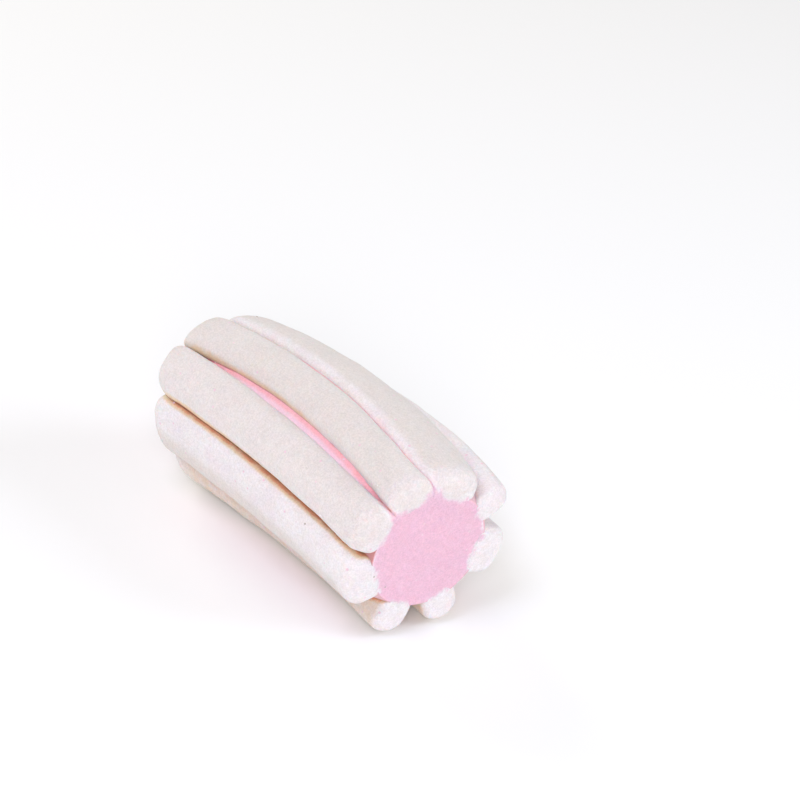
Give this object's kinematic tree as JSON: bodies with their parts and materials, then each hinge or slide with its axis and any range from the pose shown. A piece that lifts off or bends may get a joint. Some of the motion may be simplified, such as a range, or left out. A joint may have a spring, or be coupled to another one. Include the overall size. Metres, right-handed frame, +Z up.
{
  "type": "fluted marshmallow",
  "caption": "Soft fluted marshmallow lying on its side, with a pink core that shows at both cut ends and thick white strands laid round it",
  "frame": {"origin": "middle of the footprint, on the surface that the marshmallow lies on", "axes": "+X along the marshmallow from its rounded rear end to its cut front end, +Z up"},
  "size_m": [0.0636, 0.036, 0.0341],
  "materials": {
    "core": "matt pink marshmallow foam, lightly powdered",
    "strand": "matt creamy white marshmallow foam, lightly powdered"
  },
  "bodies": {
    "root": {"core": "core", "strand_1": "strand", "strand_2": "strand", "strand_3": "strand", "strand_4": "strand", "strand_5": "strand", "strand_6": "strand", "strand_7": "strand", "strand_8": "strand"}
  },
  "joints": []
}
